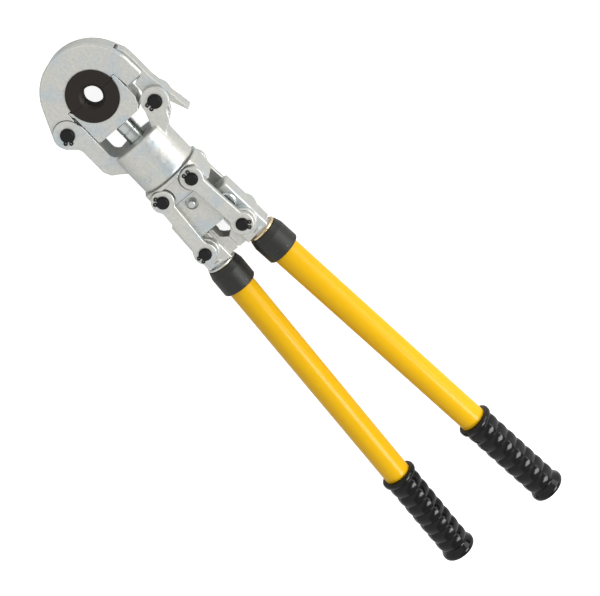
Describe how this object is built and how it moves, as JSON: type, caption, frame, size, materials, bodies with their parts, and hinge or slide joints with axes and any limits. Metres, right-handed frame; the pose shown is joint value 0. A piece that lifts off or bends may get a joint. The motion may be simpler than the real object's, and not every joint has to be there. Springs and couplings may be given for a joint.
{
  "type": "pipe press tool",
  "caption": "Long-handled manual press tool with a swivelling head, a hinged upper jaw held by a latch, changeable dies and a toggle that drives a ram, for press fittings on pipe",
  "frame": {"origin": "centre of the press bore, on the jaws' mid plane", "axes": "+X along the tool to the handles, +Y to the latch side, +Z along the press bore, out of the front face"},
  "size_m": [0.5912, 0.138, 0.0566],
  "materials": {
    "zinc_plated_steel": "satin zinc plate with faint blue tints",
    "oxide_die": "brown-black oxide on ground steel",
    "black_pin": "black oxide, slightly oily",
    "ram_steel": "ground and plated",
    "yellow_enamel": "glossy yellow enamel",
    "collar_rubber": "matt dark grey rubber",
    "grip_vinyl": "glossy black soft plastic",
    "gold_washer": "yellow-passivated zinc"
  },
  "bodies": {
    "base": {"base_block": "zinc_plated_steel", "left_base_pin": "black_pin", "right_base_pin": "black_pin", "left_base_circlips": "black_pin", "right_base_circlips": "black_pin"},
    "head": {"fork": "zinc_plated_steel", "jaw_pin": "black_pin", "latch_pin": "black_pin", "jaw_pin_circlips": "black_pin", "latch_pin_circlips": "black_pin", "swivel_pins": "ram_steel"},
    "upper_jaw_group": {"upper_jaw": "zinc_plated_steel", "upper_die": "oxide_die", "upper_die_dowel": "ram_steel"},
    "lower_jaw_group": {"lower_jaw": "zinc_plated_steel", "lower_die": "oxide_die", "lower_die_dowel": "ram_steel"},
    "latch_group": {"latch": "zinc_plated_steel"},
    "crosshead_group": {"crosshead": "zinc_plated_steel", "ram_rod": "ram_steel", "cross_pin": "ram_steel", "left_lever_pin": "ram_steel", "right_lever_pin": "ram_steel"},
    "left_links": {"left_front_link": "zinc_plated_steel", "left_rear_link": "zinc_plated_steel", "left_link_pin": "black_pin", "left_link_circlips": "black_pin"},
    "right_links": {"right_front_link": "zinc_plated_steel", "right_rear_link": "zinc_plated_steel", "right_link_pin": "black_pin", "right_link_circlips": "black_pin"},
    "left_handle": {"left_lever": "zinc_plated_steel", "left_ferrule": "zinc_plated_steel", "left_collar": "collar_rubber", "left_handle_tube": "yellow_enamel", "left_grip": "grip_vinyl"},
    "right_handle": {"right_lever": "zinc_plated_steel", "right_ferrule": "gold_washer", "right_collar": "collar_rubber", "right_handle_tube": "yellow_enamel", "right_grip": "grip_vinyl"}
  },
  "joints": [
    {"name": "head_swivel", "type": "hinge", "parent": "base", "child": "head", "pos_m": [0.0785, 0, 0], "axis": [1, 0, 0], "continuous": true},
    {"name": "jaw_hinge", "type": "hinge", "parent": "head", "child": "upper_jaw_group", "pos_m": [0.0103, -0.0382, 0], "axis": [0, 0, 1], "range_deg": [0, 60]},
    {"name": "latch_hinge", "type": "hinge", "parent": "head", "child": "latch_group", "pos_m": [0.0356, 0.0357, 0], "axis": [0, 0, 1], "range_deg": [-40, 0]},
    {"name": "lower_jaw_slide", "type": "slide", "parent": "head", "child": "lower_jaw_group", "axis": [1, 0, 0], "range_m": [0, 0.0058]},
    {"name": "ram_slide", "type": "slide", "parent": "base", "child": "crosshead_group", "axis": [1, 0, 0], "range_m": [0, 0.0058]},
    {"name": "right_handle_hinge", "type": "hinge", "parent": "crosshead_group", "child": "right_handle", "pos_m": [0.138, 0.0209, 0], "axis": [0, 0, 1], "range_deg": [0, 60]},
    {"name": "left_handle_hinge", "type": "hinge", "parent": "crosshead_group", "child": "left_handle", "pos_m": [0.138, -0.0209, 0], "axis": [0, 0, 1], "range_deg": [-60, 0]},
    {"name": "right_link_hinge", "type": "hinge", "parent": "base", "child": "right_links", "pos_m": [0.1012, 0.0161, 0], "axis": [0, 0, 1], "range_deg": [0, 18.1]},
    {"name": "left_link_hinge", "type": "hinge", "parent": "base", "child": "left_links", "pos_m": [0.1012, -0.0161, 0], "axis": [0, 0, 1], "range_deg": [-18.1, 0]}
  ],
  "couplings": [
    {"joint": "latch_hinge", "follows": "jaw_hinge", "ratio": -0.66667},
    {"joint": "left_handle_hinge", "follows": "right_handle_hinge", "ratio": -1},
    {"joint": "ram_slide", "follows": "right_handle_hinge", "m_per_rad": 0.0055386},
    {"joint": "lower_jaw_slide", "follows": "right_handle_hinge", "m_per_rad": 0.0055386},
    {"joint": "right_link_hinge", "follows": "right_handle_hinge", "ratio": 0.30167},
    {"joint": "left_link_hinge", "follows": "right_handle_hinge", "ratio": -0.30167}
  ]
}
